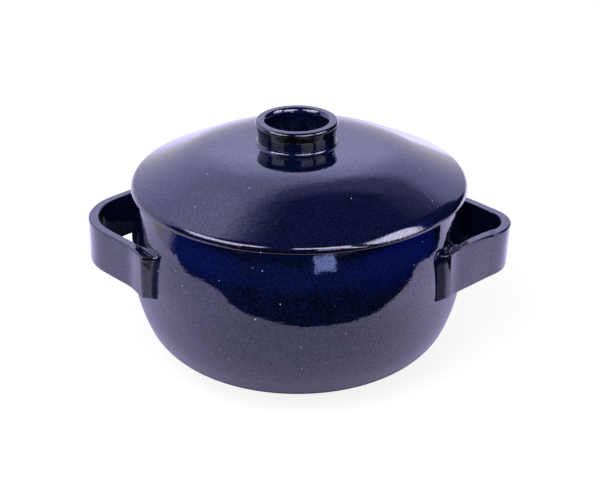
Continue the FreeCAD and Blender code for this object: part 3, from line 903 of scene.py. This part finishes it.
def strap_section(outer, inner, low, at_end):
    """An upright section round the slab, as ((x, y, z), thin, dull), up the outer face first.

    Outer and inner are each a place on the plan and the way from there into the slab.
    """
    rounding = min(STRAP_ROUND, math.dist(outer[0], inner[0]) * MOST_ROUND)
    height = STRAP_TOP - low
    rise = [low + STRAP_ROUND + (height - 2 * STRAP_ROUND) * i / FACE_STEPS
            for i in range(FACE_STEPS + 1)]
    turns = [math.pi / 2 * k / ROUND_STEPS for k in range(1, ROUND_STEPS + 1)]

    def face(side, heights, thin, dull_and_shade):
        return [(side[0] + (z,), thin, dull_and_shade) for z in heights]

    def edge(side, angles, level, up, worn):
        points = []
        for angle in angles:
            place = onward(*side, rounding * (1 - math.cos(angle)))
            z = level - up * rounding * (1 - math.sin(angle))
            points.append((place + (z,), min(worn * math.sin(2 * angle), 1.0), 0.0))
        return points

    def flat(start, end, z):
        a, b = onward(*start, rounding), onward(*end, rounding)
        return [(place + (z,), 0.0, FLAT_DULL) for place in straight(a, b, FLAT_STEPS)[1:-1]]

    return (face(outer, rise, END_THIN if at_end else 0.0, END_DULL if at_end else OUTER_DULL)
            + edge(outer, turns, STRAP_TOP, 1, OUTER_EDGE_THIN)
            + flat(outer, inner, STRAP_TOP)
            + edge(inner, turns[::-1], STRAP_TOP, 1, INNER_EDGE_THIN)
            + face(inner, rise[::-1], 0.0, 0.0)
            + edge(inner, turns, low, -1, INNER_EDGE_THIN)
            + flat(inner, outer, low)
            + edge(outer, turns[::-1], low, -1, OUTER_EDGE_THIN))


def strap_skin(name, sections):
    """Closed mesh over a row of sections, with their marks."""
    ring = len(sections[0])
    points = [point for section in sections for point in section]
    faces = []
    for i in range(len(sections) - 1):
        for k in range(ring):
            n = (k + 1) % ring
            faces.append((i * ring + k, i * ring + n, (i + 1) * ring + n, (i + 1) * ring + k))
    faces.append(tuple(range(ring)))
    faces.append(tuple(reversed(range(len(points) - ring, len(points)))))
    mesh = bpy.data.meshes.new(name)
    mesh.from_pydata([(x * MM, y * MM, z * MM) for (x, y, z), _, _ in points], [], faces)
    for mark, slot in (("thin", 1), ("dull_and_shade", 2)):
        layer = mesh.attributes.new(mark, "FLOAT", "POINT")
        layer.data.foreach_set("value", [point[slot] for point in points])
    return mesh


def clamped(value):
    return min(max(value, 0.0), 1.0)


def work_by_hand(work, side, height, lean, seed, joint, lift, drop):
    """Draw the clay out into the joint, dent the slab and give it its own bends."""
    thin_mark = work.verts.layers.float["thin"]
    dull_and_shade_mark = work.verts.layers.float["dull_and_shade"]
    moves = []
    for vert in work.verts:
        x, y, z = (c / MM for c in vert.co)
        r = math.hypot(x, y)
        off = max(r - wall_radius(z), 0.0)
        vert[thin_mark] *= min(off / JOINT_THICK, 1.0)

        # Beside the joint the clay runs out straight, and along the top in a hollow
        way = vert.normal.copy()
        radial = Vector((x, y, 0)).normalized()
        way -= radial * way.dot(radial)
        way.z = max(way.z, 0.0)
        reach, rise_up = (beside + (TOP_FILLET - beside) * way.z for beside in joint)
        near = max(1.0 - off / rise_up, 0.0)
        hollow = 1.0 - math.sqrt(1.0 - near ** 2)
        push = reach * (near + (hollow - near) * way.z)
        # Painted shade: the gloss dulls near the wall, away from the top, so the joint's crease reads dark
        vert[dull_and_shade_mark] = max(vert[dull_and_shade_mark], min(CREASE_SHADE * near, 1.0) * (1.0 - way.z))

        dent = noise.noise(Vector((x, y, z * DENT_SQUASH)) / DENT_SPACING + Vector((seed, 0, 0)))
        move = way * push + vert.normal * (DENT_DEPTH * dent - SKIN_DRAWN)
        away = clamped((r - BELLY_RADIUS - BENDS_FROM) / BENDS_OVER)
        below = (STRAP_TOP - z) / height
        front = clamped(-side * y / FRONT_OVER)
        bent_up = lift * 4 * away * (1 - away) * (1 - below)
        move.x -= lean * away * below
        move.z += front * (bent_up - drop * (1 - away) * below)
        moves.append(move * MM)
    for vert, move in zip(work.verts, moves):
        vert.co += move
        if side < 0:
            vert.co.x, vert.co.y = -vert.co.x, -vert.co.y


def strap_mesh(name, side, height, lean, seed, joint, lift, drop, **plan):
    """Slab strap: a loop of sections between the outer and the inner line of its plan."""
    outer, inner, cut = half_plan(**plan)
    outer = [(x, -y) for x, y in outer[:0:-1]] + outer
    inner = [(x, -y) for x, y in inner[:0:-1]] + inner
    last = len(outer) - 1
    places = zip(zip(outer, ways_in(outer, 1)), zip(inner, ways_in(inner, -1)))
    mesh = strap_skin(name, [strap_section(out, into, STRAP_TOP - height, min(i, last - i) < cut)
                             for i, (out, into) in enumerate(places)])
    work = bmesh.new()
    work.from_mesh(mesh)
    bmesh.ops.remove_doubles(work, verts=work.verts, dist=STRAP_MERGE * MM)
    bmesh.ops.dissolve_degenerate(work, edges=work.edges, dist=SLIVER * MM)
    bmesh.ops.recalc_face_normals(work, faces=work.faces)
    work.normal_update()
    work_by_hand(work, side, height, lean, seed, joint, lift, drop)
    work.to_mesh(mesh)
    work.free()
    mesh.materials.append(GLAZE)
    for face in mesh.polygons:
        face.use_smooth = True
    return mesh


for hand, plan in STRAPS.items():
    strap = bpy.data.objects.new("strap_" + hand, strap_mesh("strap_" + hand, **plan))
    scene.collection.objects.link(strap)
    keep(strap, "pot", "cobalt_glaze", "handle_" + hand)


# Studio and camera

# The table's front edge as seen in the reflections, across and towards the camera
TABLE_FRONT = [(-1500, -130), (-1030, -150), (-820, -215), (-685, -280), (-620, -395), (-450, -402),
               (-298, -344), (-213, -305), (-121, -290), (-10, -272), (62, -255), (140, -237),
               (217, -215), (342, -198), (555, -156), (841, -135), (880, -17), (760, 50), (764, 169),
               (1500, 700)]
TABLE_BACK = [(1500, 3000), (-1500, 3000)]
TABLE_BELOW = 0.3            # the table lies this far under the foot, so the two don't share a face

# Levels of light: what the table throws back, what it shows the camera, its glow in reflections and
# the soft light all round
TABLE_PAPER = (0.25, 0.25, 0.25, 1.0)
TABLE_SEEN = (0.86, 0.86, 0.86, 1.0)
TABLE_GLOW = (1.0, 0.93, 1.52, 1.0)
WHITE = (1.0, 1.0, 1.0, 1.0)
SOFT_LIGHT = (0.95, 0.96, 1.0, 1.0)
SOFT_STRENGTH = 0.4
SOFTBOX = dict(place=(-350, -1300, 1350), aim=(0, 0, 80), size=1200, power=24.0)

# Table brightness in reflections: even in front, brighter to the left and still more to the right,
# each as amount and where along X it starts and ends
TABLE_EVEN = 1.06
TABLE_RISES = ((0.32, -40, -260), (0.78, 60, 350), (0.2, -500, -1000))

# The pot's shade on the mirrored table, close by and wide: how far behind the pot it is centred, how
# much narrower it is across, the distances over which it clears, and its darkest level
CONTACT_SHADE = dict(centre=25, narrow=1.15, start=96, end=138, low=0.0)
WIDE_SHADE = dict(centre=90, narrow=0.75, start=80, end=205, low=0.25)

# What else the glaze mirrors: each light with its colour and the angles over which it comes up, in
# degrees: up from level, round from the back and round from the front (both positive to the
# right), and above the sloping top edges of the sweep and of the wall over it
SWEEP_MASK = (("over", 4, -7), ("back", 42, 33), ("back", -90, -78), ("up", -16, -8))
SURROUNDINGS = (
    ("white sweep", (1.1, 1.02, 1.36), SWEEP_MASK),
    ("its blue tint higher up", (0.0, 0.04, 0.48), SWEEP_MASK + (("up", 0, 26),)),
    ("its far left", (0.36, 0.34, 0.42), SWEEP_MASK + (("back", -22, -44), ("up", 36, 54))),
    ("its foot", (0.2, 0.18, 0.1), SWEEP_MASK + (("up", 8, -2),)),
    ("its middle", (0.42, 0.38, 0.6), SWEEP_MASK + (("back", -22, -10), ("back", 20, 10),
                                                    ("up", 16, 28), ("up", 48, 36))),
    ("dim right", (-0.3, -0.26, -0.36), SWEEP_MASK + (("back", 12, 34),)),
    ("wall over the sweep", (0.27, 0.26, 0.5), (("shelf", 5, -4), ("over", -7, 4), ("back", 44, 32),
                                                ("back", -84, -70))),
    ("blue front", (0.01, 0.026, 0.35), (("up", -9, -2), ("up", 13, 8), ("front", -112, -100),
                                         ("front", 112, 100))),
    ("deeper blue on the left", (0.0, 0.005, 0.3), (("up", -17, -9), ("up", 13, 8), ("front", -112, -100),
                                                    ("front", -28, -58))),
    ("deeper blue on the right", (0.0, 0.005, 0.4), (("up", -17, -9), ("up", 13, 8), ("front", 28, 58),
                                                     ("front", 112, 100))),
    ("ceiling", (0.035, 0.03, 0.2), (("up", 18, 34),)),
    ("blue between the windows", (0.0, 0.03, 0.4), (("up", 12, 18), ("up", 50, 40), ("front", -115, -100),
                                                    ("front", 115, 100))),
    ("upper panes on the left", (9.0, 8.6, 11.0), (("up", 30, 36), ("up", 50, 42), ("front", -98, -86),
                                                   ("front", -22, -30))),
    ("lower panes on the left", (9.0, 8.6, 11.0), (("up", 14, 34), ("up", 36, 30), ("front", -84, -76),
                                                   ("front", -36, -42))),
    ("near window's upper panes", (9.0, 8.6, 11.0), (("up", 30, 36), ("up", 50, 42), ("front", -6, 0),
                                                     ("front", 53, 48))),
    ("near window's lower panes", (9.0, 8.6, 11.0), (("up", 14, 34), ("up", 36, 30), ("front", 11, 17),
                                                     ("front", 53, 48))),
    ("far window", (9.0, 8.6, 11.0), (("up", 14, 34), ("up", 50, 41), ("front", 58, 62),
                                      ("front", 98, 90))),
    ("low window", (2.1, 2.5, 5.8), (("front", 10.5, 12), ("front", 26.5, 25), ("up", 6, 7.4),
                                     ("up", 17, 15.6))),
)
SWEEP_TOP = dict(level=66.5, middle=54.0, slope=-0.55)
WALL_TOP = dict(level=70.5, middle=64.0, slope=-0.35)
TOP_BEND = 6.0               # degrees over which a top edge bends from level to falling
ROOM_DARK = (0.005, 0.005, 0.01)


def turned(x, y):
    c, s = math.cos(VIEW_TURN), math.sin(VIEW_TURN)
    return (x * c - y * s, x * s + y * c)


def mirrored_ray(tree, ray):
    """1 for a ray that the glaze mirrors or lets through, and 0 for any other."""
    either = node(tree, "ShaderNodeMath", {0: ray.outputs["Is Glossy Ray"],
                                           1: ray.outputs["Is Transmission Ray"]},
                  operation="MAXIMUM")
    return either.outputs[0]


def table_shade(tree, place, centre, narrow, start, end, low):
    """The pot's shade on the table, clearing with the distance from a point behind its middle."""
    moved = node(tree, "ShaderNodeVectorMath", {0: place, 1: (0.0, -centre * MM, 0.0)}, operation="ADD")
    oval = node(tree, "ShaderNodeVectorMath", {0: moved.outputs[0], 1: (narrow, 1.0, 0.0)},
                operation="MULTIPLY")
    away = node(tree, "ShaderNodeVectorMath", {0: oval.outputs[0]}, operation="LENGTH")
    clear = node(tree, "ShaderNodeMapRange", {"Value": away.outputs["Value"], "From Min": start * MM,
                                              "From Max": end * MM, "To Min": low})
    return clear.outputs[0]


def table_glow(tree):
    """The table's brightness in reflections: more at both sides, and dark where the pot shades it."""
    place = node(tree, "ShaderNodeTexCoord").outputs["Object"]
    square = node(tree, "ShaderNodeVectorRotate", {"Vector": place, "Angle": -VIEW_TURN},
                  rotation_type="Z_AXIS")
    across = node(tree, "ShaderNodeSeparateXYZ", {0: square.outputs[0]})
    glow = TABLE_EVEN
    for amount, start, end in TABLE_RISES:
        rise = node(tree, "ShaderNodeMapRange", {"Value": across.outputs[0], "From Min": start * MM,
                                                 "From Max": end * MM, "To Max": amount},
                    interpolation_type="SMOOTHSTEP")
        more = node(tree, "ShaderNodeMath", {0: glow, 1: rise.outputs[0]}, operation="ADD")
        glow = more.outputs[0]
    for shade in (CONTACT_SHADE, WIDE_SHADE):
        shaded = node(tree, "ShaderNodeMath", {0: glow, 1: table_shade(tree, square.outputs[0], **shade)},
                      operation="MULTIPLY")
        glow = shaded.outputs[0]
    return glow


def white_card():
    """Matt white card: white to the camera but for the pot's soft shadow, and in the glaze a glow with
    brighter sides and the pot's shade painted in.
    """
    material, tree = new_material("white card")
    ray = node(tree, "ShaderNodeLightPath")
    paper = node(tree, "ShaderNodeBsdfDiffuse", {"Color": TABLE_PAPER})
    seen = node(tree, "ShaderNodeEmission", {"Color": TABLE_SEEN})
    seen_light = node(tree, "ShaderNodeAddShader", {0: paper.outputs[0], 1: seen.outputs[0]})
    card = node(tree, "ShaderNodeEmission", {"Color": TABLE_GLOW, "Strength": table_glow(tree)})
    other = node(tree, "ShaderNodeMixShader", {0: ray.outputs["Is Camera Ray"], 1: paper.outputs[0],
                                               2: seen_light.outputs[0]})
    final = node(tree, "ShaderNodeMixShader", {0: mirrored_ray(tree, ray), 1: other.outputs[0],
                                               2: card.outputs[0]})
    node(tree, "ShaderNodeOutputMaterial", {"Surface": final.outputs[0]})
    return material


def white_table():
    """Pale table top under the pot, cut off in front where the dark room begins in the reflections."""
    corners = [turned(*corner) for corner in TABLE_FRONT + TABLE_BACK]
    mesh = bpy.data.meshes.new("table")
    mesh.from_pydata([(x * MM, y * MM, -TABLE_BELOW * MM) for x, y in corners], [],
                     [tuple(range(len(corners)))])
    mesh.materials.append(white_card())
    table = bpy.data.objects.new("table", mesh)
    scene.collection.objects.link(table)


def way_angles(tree):
    """The angles of a direction, in degrees, by the names that the surroundings use."""
    way = node(tree, "ShaderNodeTexCoord").outputs["Generated"]
    square = node(tree, "ShaderNodeVectorRotate", {"Vector": way, "Angle": -VIEW_TURN},
                  rotation_type="Z_AXIS")
    xyz = node(tree, "ShaderNodeSeparateXYZ", {0: square.outputs[0]})
    ahead = node(tree, "ShaderNodeMath", {0: xyz.outputs[1], 1: -1.0}, operation="MULTIPLY")
    raised = node(tree, "ShaderNodeMath", {0: xyz.outputs[2]}, operation="ARCSINE")
    from_back = node(tree, "ShaderNodeMath", {0: xyz.outputs[0], 1: xyz.outputs[1]},
                     operation="ARCTAN2")
    from_front = node(tree, "ShaderNodeMath", {0: xyz.outputs[0], 1: ahead.outputs[0]},
                      operation="ARCTAN2")
    angles = {}
    for name, radians in (("up", raised), ("back", from_back), ("front", from_front)):
        degrees = node(tree, "ShaderNodeMath", {0: radians.outputs[0]}, operation="DEGREES")
        angles[name] = degrees.outputs[0]

    # The tops of the sweep and of the wall over it are level on the left and fall to the right
    for name, top in (("over", SWEEP_TOP), ("shelf", WALL_TOP)):
        falling = node(tree, "ShaderNodeMath", {0: angles["back"], 1: top["slope"], 2: top["middle"]},
                       operation="MULTIPLY_ADD")
        edge = node(tree, "ShaderNodeMath", {0: falling.outputs[0], 1: top["level"], 2: TOP_BEND},
                    operation="SMOOTH_MIN")
        above = node(tree, "ShaderNodeMath", {0: angles["up"], 1: edge.outputs[0]},
                     operation="SUBTRACT")
        angles[name] = above.outputs[0]
    return angles


def room_light(tree):
    """The dark room with each of its lights added, each held within its angles."""
    angles = way_angles(tree)
    lit = ROOM_DARK
    for _, colour, mask in SURROUNDINGS:
        glow = colour
        for name, dark, bright in mask:
            ramp = node(tree, "ShaderNodeMapRange", {"Value": angles[name], "From Min": dark,
                                                     "From Max": bright},
                        interpolation_type="SMOOTHSTEP")
            part = node(tree, "ShaderNodeVectorMath", {0: glow, "Scale": ramp.outputs[0]},
                        operation="SCALE")
            glow = part.outputs[0]
        more = node(tree, "ShaderNodeVectorMath", {0: lit, 1: glow}, operation="ADD")
        lit = more.outputs[0]
    return lit


def studio_world():
    """White to the camera, plain soft light, and in reflections a white sweep with a dark front."""
    world = bpy.data.worlds.new("studio")
    scene.world = world
    world.use_nodes = True
    tree = world.node_tree
    tree.nodes.clear()
    ray = node(tree, "ShaderNodeLightPath")
    mirrored = node(tree, "ShaderNodeBackground", {"Color": room_light(tree)})
    soft = node(tree, "ShaderNodeBackground", {"Color": SOFT_LIGHT, "Strength": SOFT_STRENGTH})
    white = node(tree, "ShaderNodeBackground", {"Color": WHITE})
    light = node(tree, "ShaderNodeMixShader", {0: mirrored_ray(tree, ray), 1: soft.outputs[0],
                                               2: mirrored.outputs[0]})
    final = node(tree, "ShaderNodeMixShader", {0: ray.outputs["Is Camera Ray"], 1: light.outputs[0],
                                               2: white.outputs[0]})
    node(tree, "ShaderNodeOutputWorld", {"Surface": final.outputs[0]})


def aimed(thing, place, aim):
    """Put a lamp or a camera in its place, looking at a point."""
    thing.location = [c * MM for c in place]
    thing.rotation_euler = (Vector(aim) - Vector(place)).to_track_quat("-Z", "Y").to_euler()
    scene.collection.objects.link(thing)


def front_softbox(place, aim, size, power):
    """Large soft lamp in front on the left, left out of reflections."""
    lamp = bpy.data.lights.new("front_softbox", "AREA")
    lamp.shape = "SQUARE"
    lamp.size = size * MM
    lamp.energy = power
    holder = bpy.data.objects.new("front_softbox", lamp)
    holder.visible_glossy = False
    aimed(holder, place, aim)


def photo_camera():
    data = bpy.data.cameras.new("camera")
    data.lens = LENS
    data.sensor_width = SENSOR
    camera = bpy.data.objects.new("camera", data)
    aimed(camera, CAMERA_PLACE, CAMERA_AIM)
    scene.camera = camera


photo_camera()
white_table()
studio_world()
front_softbox(**SOFTBOX)
